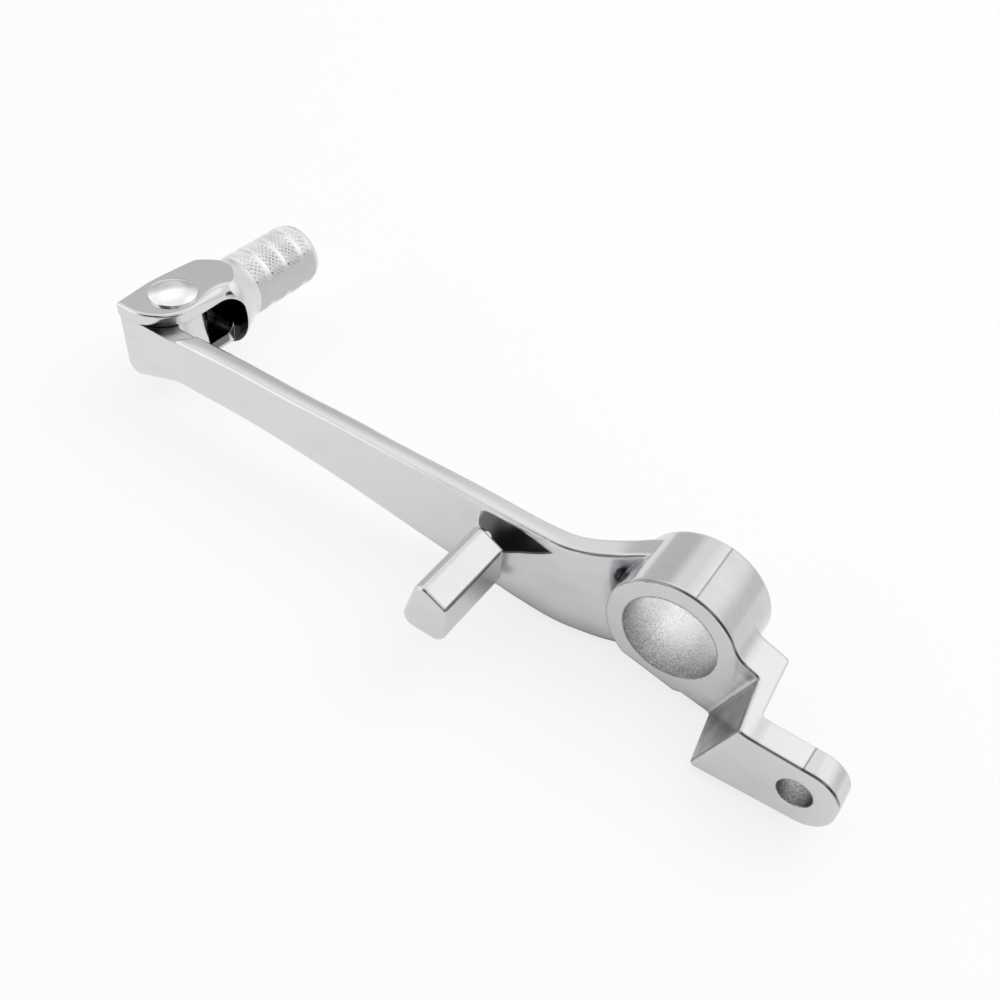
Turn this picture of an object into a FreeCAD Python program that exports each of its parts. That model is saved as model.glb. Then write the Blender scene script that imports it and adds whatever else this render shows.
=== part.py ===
"""Motorcycle gear shift lever with a folding toe peg, in millimetres.

The origin is the middle of the pivot bore, +Y runs along the bore the way the toe peg points, +X runs
from the peg towards the link tab and +Z is up, along the axis that the peg folds about.
"""
import FreeCAD, Part
import math
import os

# Pivot boss
BORE_R = 10.0
BOSS_WALL = 4.0
BOSS_LENGTH = 16.4
BOSS_EDGE = 0.8
FLAT_WALL = 2.3
FLAT_ROLL = 12.0
FLAT_RELIEF = 15.0

# Arm blade: a tapered bar that bends towards the middle of the boss
ARM_TOP_TIP = 6.1
ARM_TOP_ROOT = 8.0
ARM_BOTTOM_TIP = -7.0
ARM_BOTTOM_ROOT = -15.0
ARM_FRONT_TIP = -8.1
ARM_FRONT_ROOT = -7.5
ARM_THICK_TIP = 4.8
ARM_THICK_ROOT = 6.2
ARM_EDGE = 0.9
BELLY_START = 112.0
BELLY_END = 16.0
BEND_START = 28.0
BEND_TOP = 7.6
BEND_BOTTOM = 2.9
ROOT_START = 19.0
ROOT_RISE = 4.0
ARM_STATIONS = 7
BEND_STATIONS = 7

# Hinge of the toe peg
PEG_REACH = 142.0
HINGE_Y = 2.7
PEG_AXIS_Z = -0.7
HINGE_GAP = 0.15
PIN_R = 3.0
PIN_RUN = 0.05
PIN_SEAT = 0.02

# Knuckle of the arm
KNUCKLE_HEIGHT = 11.6
CHEEK_R = 15.6
EYE_R = 7.2
HEEL_REACH = 7.3
EYE_BLEND = 2.0
CHIN_DROP = 6.4
CHIN_LENGTH = 10.5
CHIN_ROUND = 3.0
CHIN_SWEEP = 12.0
CHIN_EDGE = 0.7

# Fork, flange and barrel of the toe peg
LUG_THICK = 3.0
LUG_LEFT = 7.3
LUG_RIGHT = 7.6
LUG_FRONT = 11.2
LUG_SWEEP_R = 10.5
LUG_EDGE = 0.8
LUG_BULGE = 1.0
LUG_SIDE_R = 30.0
LUG_FLARE = 3.0
LUG_FLARE_R = 4.0
LUG_ROUND_LEFT = 0.8
LUG_ROUND_RIGHT = 2.8
LOWER_LUG_R = 5.7
SLOT_DEPTH = 12.6
SLOT_ROUND = 2.8
HOOD_R = 11.1
HOOD_TAPER = 2.2
HOOD_THICK = 0.8
HOOD_EDGE = 5.0
NECK_LENGTH = 6.5
BARREL_R = 7.8
BARREL_LENGTH = 23.9
BARREL_EDGE = 2.2
GROOVE_COUNT = 3
GROOVE_WIDTH = 1.0
GROOVE_DEPTH = 0.3

# Hinge pin
HEAD_R = 5.8
HEAD_RIM = 0.5
HEAD_DOME = 1.5
TAIL_R = 4.4
TAIL_FLAT_R = 2.8
TAIL_HEIGHT = 1.2

# Return spring in its pocket under the knuckle
WIRE_R = 0.55
COIL_R = 4.3
COIL_HALF_TURNS = 5
COIL_PITCH = 1.3
COIL_GAP = 0.35
POCKET_GAP = 0.5
LEG_LENGTH = 2.4
LEG_GAP = 0.15

# Stop lug on the front of the arm
STOP_RIGHT = -35.9
STOP_TOP_WIDTH = 7.1
STOP_TOP_HIGH = 7.0
STOP_TOP_LOW = 3.5
STOP_BASE = -6.8
STOP_BASE_WIDTH = 10.7
STOP_END = 31.8
STOP_ROOT = 12.0
STOP_EDGE = 1.0
STOP_CREST = 2.2
STOP_FOOT_R = 2.6
STOP_WAIST = 1.0
STOP_BLEND = 3.6

# Web, leg and link tab
WEB_BACK = 0.6
WEB_FALL = 19.0
WEB_BLEND = 7.0
LEG_X = 17.9
LEG_THICK = 3.3
LEG_ROOT = 4.7
LEG_LEAN = 19.5
LEG_SPLAY = 9.0
LEG_CORNER = 1.4
TAB_FRONT = -20.5
TAB_THICK = 6.0
TAB_X = 32.9
TAB_Z = -5.2
TAB_END_R = 7.2
TAB_OVERHANG = 7.9
TAB_HOLE_R = 3.4
TAB_HEEL_X = 14.4
TAB_HEEL_Z = -14.8
TAB_EDGE = 0.9
TAB_SWEEP = 6.0
RIM_EDGE = 0.7
TAB_BACK_EDGE = 0.4

BOSS_R = BORE_R + BOSS_WALL
BOSS_FRONT = -BOSS_LENGTH / 2
HINGE_X = -PEG_REACH
KNUCKLE_TOP = PEG_AXIS_Z + KNUCKLE_HEIGHT / 2
KNUCKLE_BOTTOM = PEG_AXIS_Z - KNUCKLE_HEIGHT / 2
SLOT_HALF = KNUCKLE_HEIGHT / 2 + HINGE_GAP
FORK_HALF = SLOT_HALF + LUG_THICK
FORK_TOP = PEG_AXIS_Z + FORK_HALF
FORK_BOTTOM = PEG_AXIS_Z - FORK_HALF
SLOT_ROOT = HINGE_Y + SLOT_DEPTH
COIL_HEIGHT = COIL_HALF_TURNS * COIL_PITCH / 2 + 2 * WIRE_R
POCKET_R = COIL_R + WIRE_R + POCKET_GAP
POCKET_TOP = KNUCKLE_BOTTOM + COIL_HEIGHT + 2 * COIL_GAP
LEG_TOP = TAB_Z + TAB_END_R
COIL_LOW = KNUCKLE_BOTTOM + COIL_GAP + WIRE_R
TOUCH = 0.01

HINGE = FreeCAD.Vector(HINGE_X, HINGE_Y, 0)
UP = FreeCAD.Vector(0, 0, 1)
ALONG_BORE = FreeCAD.Vector(0, 1, 0)


def vec(x, y, z):
    """A point in the part's frame."""
    return FreeCAD.Vector(x, y, z)


def in_plan(z):
    """Places (x, y) pairs at one height."""
    return lambda x, y: vec(x, y, z)


def in_side(y):
    """Places (x, z) pairs at one depth along the bore."""
    return lambda x, z: vec(x, y, z)


def across_arm(x):
    """Places (y, z) pairs across the arm."""
    return lambda y, z: vec(x, y, z)


def rounded(before, here, after, radius):
    """The start, middle and end of the arc that rounds the corner here."""
    back = (before - here).normalize()
    ahead = (after - here).normalize()
    half = back.getAngle(ahead) / 2
    reach = radius / math.tan(half)
    inward = (back + ahead).normalize()
    middle = here + inward * (radius / math.sin(half) - radius)
    return here + back * reach, middle, here + ahead * reach


def outline(corners, place):
    """A closed wire round the corners (a, b, radius), where radius 0 keeps a corner sharp."""
    points = [place(a, b) for a, b, radius in corners]
    count = len(points)
    arcs = []
    for i, (a, b, radius) in enumerate(corners):
        arcs.append(rounded(points[i - 1], points[i], points[(i + 1) % count], radius))
    edges = []
    for i, (start, middle, end) in enumerate(arcs):
        if corners[i][2] > 0:
            edges.append(Part.Arc(start, middle, end).toShape())
        following = arcs[(i + 1) % count][0]
        if end.distanceToPoint(following) > TOUCH / 100:
            edges.append(Part.LineSegment(end, following).toShape())
    return Part.Wire(edges)


def slab(corners, place, run):
    """A solid made by drawing a rounded outline along a straight run."""
    return Part.Face(outline(corners, place)).extrude(run)


def cylinder(radius, length, foot, direction):
    """A round bar from its foot along a direction."""
    return Part.makeCylinder(radius, length, foot, direction)


def ease(value, start, end):
    """A smooth step from 0 at start to 1 at end."""
    share = min(max((value - start) / (end - start), 0.0), 1.0)
    return share * share * (3 - 2 * share)


def mix(first, second, share):
    """The value that lies a share of the way from the first to the second."""
    return first + (second - first) * share


def edges_where(shape, test):
    """The edges of a shape whose middle passes a test."""
    return [edge for edge in shape.Edges if test(edge.CenterOfMass)]


def boss():
    """The pivot boss: a drum with a relieved flat under its front, before it is bored."""
    drum = cylinder(BOSS_R, BOSS_LENGTH, vec(0, BOSS_FRONT, 0), ALONG_BORE)
    size = 4 * BOSS_R
    below = Part.makeBox(size, size, size, vec(-size / 2, -BOSS_R, -size))
    below.rotate(vec(0, 0, 0), vec(1, 0, 0), -FLAT_RELIEF)
    below.translate(vec(0, BOSS_FRONT, -BORE_R - FLAT_WALL))
    below.rotate(vec(0, 0, 0), ALONG_BORE, FLAT_ROLL)
    drum = drum.cut(below)
    return drum.makeFillet(BOSS_EDGE, edges_where(drum, lambda p: p.y > BOSS_LENGTH / 2 - BOSS_EDGE))


def is_stop_root(edge):
    """Whether an edge is where the stop lug's waist meets the front of the arm."""
    box = edge.BoundBox
    beside = STOP_RIGHT - STOP_BASE_WIDTH < box.XMin and box.XMax < STOP_RIGHT
    return beside and box.YMin > ARM_FRONT_TIP and box.YMax < ARM_FRONT_ROOT


def arm_section(x):
    """The arm's rounded cross-section at one distance from the pivot."""
    length_share = (x + PEG_REACH) / PEG_REACH
    top = mix(ARM_TOP_TIP, ARM_TOP_ROOT, length_share) + ROOT_RISE * ease(x, -ROOT_START, 0)
    belly = mix(ARM_BOTTOM_TIP, ARM_BOTTOM_ROOT, ease(x, -BELLY_START, -BELLY_END))
    bottom = mix(belly, -BORE_R - FLAT_WALL, ease(x, -BELLY_END, 0))
    bend = min(max((x + BEND_START) / (BEND_START - BORE_R), 0.0), 1.0)
    bend = bend * bend * (2 - bend)
    front = mix(ARM_FRONT_TIP, ARM_FRONT_ROOT, length_share)
    thick = mix(ARM_THICK_TIP, ARM_THICK_ROOT, ease(x, -BEND_START, -BORE_R))
    front_top = front + BEND_TOP * bend
    front_bottom = front + BEND_BOTTOM * bend
    corners = [
        (front_top, top, ARM_EDGE),
        (front_top + thick, top, ARM_EDGE),
        (front_bottom + thick, bottom, ARM_EDGE),
        (front_bottom, bottom, ARM_EDGE),
    ]
    return outline(corners, across_arm(x))


def arm_blade():
    """The tapered blade from the knuckle into the boss, drawn through sections that close up at the bend."""
    far = HINGE_X + EYE_R
    straight = [mix(far, -BEND_START, i / ARM_STATIONS) for i in range(ARM_STATIONS)]
    bent = [mix(-BEND_START, 0, i / BEND_STATIONS) for i in range(BEND_STATIONS + 1)]
    return Part.makeLoft([arm_section(x) for x in straight + bent], True, False)


def chin_outline():
    """Side outline of the chin: the front of the tip runs down and sweeps up into the blade's underside."""
    left = HINGE_X - HEEL_REACH
    low = KNUCKLE_BOTTOM - CHIN_DROP
    inside = ARM_BOTTOM_TIP + HINGE_GAP
    return [
        (left, KNUCKLE_TOP, 0),
        (HINGE_X + CHEEK_R, KNUCKLE_TOP, 0),
        (HINGE_X + CHEEK_R, inside, 0),
        (HINGE_X + CHIN_LENGTH, inside, CHIN_SWEEP),
        (left, low, CHIN_ROUND),
    ]


def knuckle():
    """The hinge knuckle: an eye round the pin, a heel that stops the fork, a neck and a chin in front."""
    front = ARM_FRONT_TIP
    back = SLOT_ROOT - HINGE_GAP
    left = HINGE_X - HEEL_REACH
    neck_end = HINGE_X + CHEEK_R
    neck_back = front + ARM_THICK_TIP
    inside = front + ARM_THICK_TIP / 2
    heel_round = SLOT_ROUND - HINGE_GAP
    heel = [
        (inside, KNUCKLE_BOTTOM, 0),
        (inside, KNUCKLE_TOP, 0),
        (back, KNUCKLE_TOP, heel_round),
        (back, KNUCKLE_BOTTOM, heel_round),
    ]
    neck = [(left, inside, 0), (neck_end, inside, 0), (neck_end, neck_back, 0), (left, neck_back, 0)]
    blocks = [
        slab(heel, across_arm(left), vec(HEEL_REACH, 0, 0)),
        slab(neck, in_plan(KNUCKLE_BOTTOM), UP * KNUCKLE_HEIGHT),
    ]
    eye = cylinder(EYE_R, KNUCKLE_HEIGHT, HINGE + UP * KNUCKLE_BOTTOM, UP)
    body = eye.fuse(blocks).removeSplitter()
    inner = edges_where(body, lambda p: HINGE_X < p.x < neck_end - TOUCH and abs(p.y - neck_back) < TOUCH)
    inner = [edge for edge in inner if edge.BoundBox.ZLength > KNUCKLE_HEIGHT / 2]
    body = body.makeFillet(EYE_BLEND, inner)
    chin = slab(chin_outline(), in_side(front), vec(0, ARM_THICK_TIP, 0))
    rim = edges_where(chin, lambda p: p.y < front + TOUCH and p.z < KNUCKLE_TOP - TOUCH and p.x < HINGE_X)
    chin = chin.makeFillet(CHIN_EDGE, rim)
    return body.fuse(chin).removeSplitter()


def cheek():
    """Room milled round the pin above the knuckle, where the upper lug swings."""
    return cylinder(CHEEK_R, CHEEK_R, HINGE + UP * KNUCKLE_TOP, UP)


def stop_outline(inset):
    """Side outline of the stop lug: a sloping top, an upright near side and a rounded foot."""
    right = STOP_RIGHT - inset
    low = STOP_BASE + inset
    return [
        (STOP_RIGHT - STOP_TOP_WIDTH + inset, STOP_TOP_HIGH - inset, STOP_CREST),
        (right, STOP_TOP_LOW - inset, STOP_EDGE),
        (right, low, STOP_FOOT_R),
        (STOP_RIGHT - STOP_BASE_WIDTH + inset, low, STOP_FOOT_R),
    ]


def stop_lug():
    """The stop lug: a bevelled bar on a narrower waist that runs into the arm's front."""
    bar = slab(stop_outline(0), in_side(-STOP_END), vec(0, STOP_END - STOP_ROOT, 0))
    bar = bar.makeFillet(STOP_EDGE, edges_where(bar, lambda p: p.y < -STOP_END + TOUCH))
    inside = ARM_FRONT_ROOT + ARM_THICK_TIP / 2
    start = -STOP_ROOT - STOP_EDGE
    waist = slab(stop_outline(STOP_WAIST), in_side(start), vec(0, inside - start, 0))
    return bar.fuse(waist)


def web_corner():
    """Where the web's hollow leaves the boss, and where the tangents to its two ends meet."""
    fall = math.radians(WEB_FALL)
    across = vec(math.sin(fall), 0, math.cos(fall))
    along = vec(math.cos(fall), 0, -math.sin(fall))
    rise = across.dot(vec(LEG_X + LEG_THICK, 0, LEG_TOP)) + WEB_BLEND
    reach = BOSS_R + WEB_BLEND
    middle = across * rise + along * math.sqrt(reach * reach - rise * rise)
    out = middle / reach
    spring = out * BOSS_R
    tangent = WEB_BLEND * math.tan(out.getAngle(across) / 2)
    return spring, spring + vec(out.z, 0, -out.x) * tangent


def tab_outline():
    """Side outline shared by the web, the leg and the tab, with a round end past the link hole."""
    spring, corner = web_corner()
    low = TAB_Z - TAB_END_R
    end = TAB_X + TAB_OVERHANG
    return [
        (0, spring.z, 0),
        (spring.x, spring.z, 0),
        (corner.x, corner.z, WEB_BLEND),
        (LEG_X + LEG_THICK, LEG_TOP, TAB_SWEEP),
        (end, LEG_TOP, TAB_END_R - TAB_EDGE),
        (end, low, TAB_END_R - TAB_EDGE),
        (TAB_HEEL_X, TAB_HEEL_Z, TAB_EDGE),
        (0, -BORE_R - FLAT_WALL, 0),
    ]


def link_arm():
    """Web, leg and tab: a plan outline with two steps, leaned over and trimmed to the side outline."""
    reach = TAB_X + 2 * TAB_OVERHANG
    lean = math.tan(math.radians(LEG_LEAN))
    splay = math.tan(math.radians(LEG_SPLAY))
    right = LEG_X + LEG_THICK
    tab_back = TAB_FRONT + TAB_THICK
    crown = BOSS_R
    tall = crown - 2 * TAB_HEEL_Z
    up_shift = (crown - LEG_TOP) * lean
    plan = [
        (up_shift, BOSS_FRONT, 0),
        (LEG_X + up_shift, BOSS_FRONT, TAB_EDGE),
        (LEG_X + up_shift + splay * (BOSS_FRONT - TAB_FRONT), TAB_FRONT, TAB_EDGE),
        (reach + up_shift, TAB_FRONT, 0),
        (reach + up_shift, tab_back, 0),
        (right + up_shift + splay * (BOSS_FRONT - tab_back), tab_back, TAB_EDGE),
        (LEG_X + LEG_ROOT + up_shift + splay * (BOSS_FRONT - WEB_BACK), WEB_BACK, LEG_CORNER),
        (up_shift, WEB_BACK, 0),
    ]
    steps = slab(plan, in_plan(crown), vec(-tall * lean, 0, -tall))
    trim = slab(tab_outline(), in_side(2 * TAB_FRONT), vec(0, -2 * TAB_FRONT, 0))
    return steps.common(trim)


def leg_holes():
    """The spring's leg holes: one up into the knuckle and one down through the lower lug."""
    hole_r = WIRE_R + LEG_GAP
    top = HINGE + coil_point(COIL_HALF_TURNS)
    upper = cylinder(hole_r, LEG_LENGTH + LEG_GAP + COIL_GAP, top + UP * WIRE_R, UP)
    lower = cylinder(hole_r, 2 * FORK_HALF, HINGE + coil_point(0) - UP * (2 * FORK_HALF), UP)
    return upper, lower


def head():
    """Boss and link arm in one, with one rounded rim round their fronts and a finer one behind the tab."""
    body = boss().fuse(link_arm()).removeSplitter()
    rim = edges_where(body, lambda p: abs(p.y - BOSS_FRONT) < TOUCH and p.x < 0 < p.z)
    body = body.makeFillet(RIM_EDGE, rim)
    tab_back = TAB_FRONT + TAB_THICK
    behind = edges_where(body, lambda p: abs(p.y - tab_back) < TOUCH and p.x > TAB_X)
    return body.makeFillet(TAB_BACK_EDGE, behind)


def lever_arm():
    """The whole forging: boss, blade, knuckle, stop lug and link arm, bored and pocketed."""
    blade = arm_blade().cut(cheek())
    body = head().fuse([blade, stop_lug()])
    body = body.makeFillet(STOP_BLEND, [edge for edge in body.Edges if is_stop_root(edge)])
    body = body.fuse(knuckle())
    bore = cylinder(BORE_R, 2 * BOSS_LENGTH, vec(0, -BOSS_LENGTH, 0), ALONG_BORE)
    link_hole = cylinder(TAB_HOLE_R, 3 * TAB_THICK, vec(TAB_X, TAB_FRONT - TAB_THICK, TAB_Z), ALONG_BORE)
    pin_hole = cylinder(PIN_R + PIN_RUN, 2 * KNUCKLE_HEIGHT, HINGE + UP * (2 * KNUCKLE_BOTTOM), UP)
    pocket = cylinder(POCKET_R, POCKET_TOP - KNUCKLE_BOTTOM, HINGE + UP * KNUCKLE_BOTTOM, UP)
    return body.cut([bore, link_hole, pin_hole, pocket, leg_holes()[0]])


def upper_lug_outline():
    """Plan outline of the upper lug: square at the heel side, swept round on the side it folds to."""
    left = HINGE_X - LUG_LEFT
    right = HINGE_X + LUG_RIGHT
    front = HINGE_Y - LUG_FRONT
    back = SLOT_ROOT + HOOD_THICK
    return [
        (left, front, LUG_EDGE),
        (right, front, LUG_SWEEP_R),
        (right, SLOT_ROOT - LUG_FLARE, LUG_FLARE_R),
        (right + LUG_FLARE, SLOT_ROOT, 0),
        (right + LUG_FLARE, back, 0),
        (left, back, 0),
        (left - LUG_BULGE, HINGE_Y, LUG_SIDE_R),
    ]


def lower_lug_outline():
    """Plan outline of the lower lug: a round end that turns behind the chin."""
    left = HINGE_X - LOWER_LUG_R
    right = HINGE_X + LOWER_LUG_R
    front = HINGE_Y - LOWER_LUG_R
    end_r = LOWER_LUG_R - TOUCH
    return [(left, front, end_r), (right, front, end_r), (right, SLOT_ROOT, 0), (left, SLOT_ROOT, 0)]


def turned(profile):
    """A solid turned about the peg's own axis from (distance along Y, radius, rounding) corners."""
    wire = outline([(y, PEG_AXIS_Z + r, radius) for y, r, radius in profile], across_arm(HINGE_X))
    return Part.Face(wire).revolve(vec(HINGE_X, 0, PEG_AXIS_Z), ALONG_BORE, 360)


def peg_body():
    """The turned hood and barrel, with shallow ring grooves between the knurled bands."""
    front = HINGE_Y - 2 * LUG_FRONT
    neck = SLOT_ROOT + HOOD_THICK
    barrel = neck + NECK_LENGTH
    end = barrel + BARREL_LENGTH
    profile = [
        (front, 0, 0),
        (front, HOOD_R + HOOD_TAPER, 0),
        (neck, HOOD_R, HOOD_EDGE),
        (barrel, BARREL_R, NECK_LENGTH / 2),
    ]
    core_r = BARREL_R - GROOVE_DEPTH
    for i in range(GROOVE_COUNT):
        middle = mix(barrel, end, (i + 1) / (GROOVE_COUNT + 1))
        near = middle - GROOVE_WIDTH / 2
        far = middle + GROOVE_WIDTH / 2
        profile += [(near, BARREL_R, 0), (near, core_r, 0), (far, core_r, 0), (far, BARREL_R, 0)]
    profile += [(end, BARREL_R, BARREL_EDGE), (end, 0, 0)]
    return turned(profile)


def fork_slot():
    """The slot between the lugs, with a rounded root."""
    front = HINGE_Y - 2 * LUG_FRONT
    low = PEG_AXIS_Z - SLOT_HALF
    high = PEG_AXIS_Z + SLOT_HALF
    corners = [(front, low, 0), (front, high, 0), (SLOT_ROOT, high, SLOT_ROUND), (SLOT_ROOT, low, SLOT_ROUND)]
    return slab(corners, across_arm(HINGE_X - 2 * HOOD_R), vec(4 * HOOD_R, 0, 0))


def toe_peg():
    """The folding toe peg: the turned body trimmed to the two lugs and to a flat on top."""
    upper = slab(upper_lug_outline(), in_plan(PEG_AXIS_Z), UP * FORK_HALF)
    rim = edges_where(upper, lambda p: p.z > FORK_TOP - TOUCH and abs(p.x - HINGE_X - LUG_RIGHT) < TOUCH)
    upper = upper.makeFillet(LUG_ROUND_LEFT, LUG_ROUND_RIGHT, rim)
    lower = slab(lower_lug_outline(), in_plan(FORK_BOTTOM), UP * FORK_HALF)
    hood_low = 2 * HOOD_R
    hood_corner = vec(HINGE_X - hood_low, SLOT_ROOT, PEG_AXIS_Z - hood_low)
    hood = Part.makeBox(2 * hood_low, 2 * BARREL_LENGTH, hood_low + FORK_HALF, hood_corner)
    body = peg_body().common(hood.fuse([upper, lower]))
    pin_hole = cylinder(PIN_R + PIN_SEAT, 4 * FORK_HALF, HINGE + UP * (PEG_AXIS_Z - 2 * FORK_HALF), UP)
    return body.cut([fork_slot(), pin_hole, leg_holes()[1]])


def hinge_pin():
    """The rivet: a domed head on the upper lug, a shank through the knuckle and a formed tail below."""
    profile = [
        (0, FORK_BOTTOM - TAIL_HEIGHT),
        (TAIL_FLAT_R, FORK_BOTTOM - TAIL_HEIGHT),
        (TAIL_R, FORK_BOTTOM),
        (PIN_R, FORK_BOTTOM),
        (PIN_R, FORK_TOP),
        (HEAD_R, FORK_TOP),
        (HEAD_R, FORK_TOP + HEAD_RIM),
    ]
    points = [vec(HINGE_X + r, HINGE_Y, z) for r, z in profile]
    crown = vec(HINGE_X, HINGE_Y, FORK_TOP + HEAD_RIM + HEAD_DOME)
    dome_r = (HEAD_R * HEAD_R + HEAD_DOME * HEAD_DOME) / (2 * HEAD_DOME)
    half_r = HEAD_R / 2
    shoulder_drop = dome_r - math.sqrt(dome_r * dome_r - half_r * half_r)
    shoulder = crown + vec(half_r, 0, -shoulder_drop)
    edges = [Part.LineSegment(a, b).toShape() for a, b in zip(points, points[1:])]
    edges.append(Part.Arc(points[-1], shoulder, crown).toShape())
    edges.append(Part.LineSegment(crown, points[0]).toShape())
    return Part.Face(Part.Wire(edges)).revolve(HINGE, UP, 360)


def coil_point(half_turns):
    """Middle of the wire after a number of half turns, from the hinge axis at height zero."""
    side = 1 if half_turns % 2 == 0 else -1
    return vec(side * COIL_R, 0, COIL_LOW + half_turns * COIL_PITCH / 2)


def return_spring():
    """The torsion spring: a coil of half turns, one leg up into the knuckle and one down into the fork."""
    lengths = []
    for half in range(COIL_HALF_TURNS):
        start = coil_point(half)
        middle = (start + coil_point(half + 1)) / 2
        arm = start - middle
        wire_end = Part.Face(Part.Wire([Part.makeCircle(WIRE_R, start, ALONG_BORE)]))
        lengths.append(wire_end.revolve(middle, arm.cross(ALONG_BORE * arm.x), 180))
    for bend, way in ((coil_point(0), -1), (coil_point(COIL_HALF_TURNS), 1)):
        lengths.append(Part.makeSphere(WIRE_R, bend))
        lengths.append(cylinder(WIRE_R, LEG_LENGTH + WIRE_R, bend, UP * way))
    spring = lengths[0].fuse(lengths[1:]).removeSplitter()
    spring.translate(HINGE)
    return spring


def main():
    """Build each piece and write its own file."""
    os.makedirs("parts", exist_ok=True)
    pieces = {
        "lever_arm": lever_arm(),
        "toe_peg": toe_peg(),
        "hinge_pin": hinge_pin(),
        "return_spring": return_spring(),
    }
    for name, shape in pieces.items():
        print(name, shape.isValid(), len(shape.Solids), round(shape.Volume, 1), shape.BoundBox)
        shape.exportStep("parts/" + name + ".step")


main()
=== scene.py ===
"""Looks of a motorcycle gear shift lever with a folding toe peg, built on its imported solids."""
import math
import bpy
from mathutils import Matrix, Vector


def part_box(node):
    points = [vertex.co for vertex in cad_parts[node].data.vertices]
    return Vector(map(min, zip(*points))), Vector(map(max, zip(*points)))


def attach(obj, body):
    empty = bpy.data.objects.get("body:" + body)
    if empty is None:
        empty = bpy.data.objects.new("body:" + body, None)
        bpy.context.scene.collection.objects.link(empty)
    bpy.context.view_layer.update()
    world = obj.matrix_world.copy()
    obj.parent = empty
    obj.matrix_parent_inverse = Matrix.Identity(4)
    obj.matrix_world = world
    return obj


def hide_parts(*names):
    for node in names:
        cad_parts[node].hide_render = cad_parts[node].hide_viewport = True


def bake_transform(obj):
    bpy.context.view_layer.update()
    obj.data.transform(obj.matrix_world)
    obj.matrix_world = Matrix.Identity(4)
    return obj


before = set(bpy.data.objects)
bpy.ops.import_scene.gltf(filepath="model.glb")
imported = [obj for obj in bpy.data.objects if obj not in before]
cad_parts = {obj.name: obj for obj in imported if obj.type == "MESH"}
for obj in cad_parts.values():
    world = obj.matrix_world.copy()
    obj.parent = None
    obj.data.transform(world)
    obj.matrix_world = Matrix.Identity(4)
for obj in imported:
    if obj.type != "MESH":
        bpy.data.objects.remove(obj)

from types import SimpleNamespace

import bmesh
import bpy
from mathutils import Matrix, Vector

bl_info = {
    "name": "Gear Shift Lever",
    "version": (1, 0, 0),
    "blender": (4, 5, 0),
    "location": "View3D > Sidebar > Lever",
    "description": "Polished metal, diamond knurl and a light tent for a foot gear lever",
    "category": "Object",
}

MM = 0.001

# The photograph's view: the camera's right and up, and the width of its sensor in millimetres
CAMERA_RIGHT = (0.824, 0.561, 0.084)
CAMERA_UP = (-0.450, 0.557, 0.698)
SENSOR_WIDTH = 36.0
NEAREST_SEEN = 0.01

# The floor and the lamp, in metres
FLOOR_REACH = 2.0
LAMP_SIZE = (0.7, 0.5)
LAMP_PLACE = (0.16, 0.45, 0.6)

# How much of the floor glows to the eye, and how much less of it the metal mirrors in front of and under the
# lever, a painted shade in its reflections
FLOOR_GLOW = 0.8
FLOOR_FRONT_LOSS = 0.5
FLOOR_UNDER_LOSS = 0.8

# What polished metal mirrors: a way, the half-angles in degrees of its full and faded parts, and the change
TENT = (
    ((0.40, 0.58, 0.71), 8.0, 32.0, 0.30),
    ((-0.66, -0.60, 0.45), 8.0, 25.0, 0.50),
    ((-0.78, 0.55, 0.30), 18.0, 33.0, -0.30),
    ((0.06, -0.68, 0.73), 18.0, 29.0, -0.92),
    ((-0.45, 0.30, 0.84), 8.0, 26.0, 0.20),
    ((0.80, -0.55, 0.10), 28.0, 38.0, -0.90),
    ((0.75, 0.65, 0.10), 2.0, 40.0, -0.12),
)
TENT_DARKEST = 0.01

# The gusset beside the stop lug: its crest, its upper line under the arm's rim and its foot, in millimetres
GUSSET_CREST = (
    (-44.9, -7.5, 5.6), (-43.3, -10.3, 5.0), (-41.3, -11.2, 4.5), (-39.0, -11.8, 3.9), (-36.9, -12.5, 2.9),
    (-35.2, -11.6, 2.9), (-33.2, -10.5, 3.3), (-31.0, -9.6, 3.8), (-28.8, -8.6, 4.4), (-26.8, -7.5, 5.2),
)
GUSSET_RIM = (
    (-44.9, -7.4, 6.2), (-43.3, -7.4, 6.7), (-41.3, -7.5, 6.8), (-39.0, -7.5, 6.8), (-36.5, -7.55, 6.8),
    (-34.5, -7.55, 6.7), (-32.3, -7.55, 6.4), (-30.2, -7.5, 6.0), (-28.2, -7.4, 5.6), (-26.6, -7.4, 5.4),
)
GUSSET_FOOT = (
    (-44.9, -7.4, 5.0), (-43.3, -7.5, 2.8), (-41.3, -7.5, 2.0), (-39.0, -7.5, 1.0), (-36.6, -7.6, 0.0),
    (-34.0, -7.6, 0.0), (-31.8, -7.6, 1.0), (-29.8, -7.5, 2.4), (-28.0, -7.4, 3.8), (-26.7, -7.4, 5.1),
)
# How hollow its front and its scoop are, as powers, how far its back lies in the arm, and its steps and rows
GUSSET_HOLLOW = 1.8
GUSSET_SCOOP = 1.1
GUSSET_SUNK = 0.8
GUSSET_BACK_DROP = 0.2
GUSSET_STEPS = 48
GUSSET_ROWS = 12

# Over what share of the radius the knurl fades into the plain sides
KNURL_FADE = 0.08

# Places on the lever, in millimetres from the pivot
BOSS_RADIUS = 14.0
BLADE_MIDDLE_Y = -5.4
BLADE_HALF = 1.9
LINK_HOLE_X = 32.9
LINK_HOLE_Z = -5.2
NOTCH = (-14.1, -3.3, 3.6)
NOTCH_FLATNESS = 0.3
CREASE_X = 33.3
CREASE_LEAN = 0.05
HINGE_X = -142.0
HINGE_Y = 2.7
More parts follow.
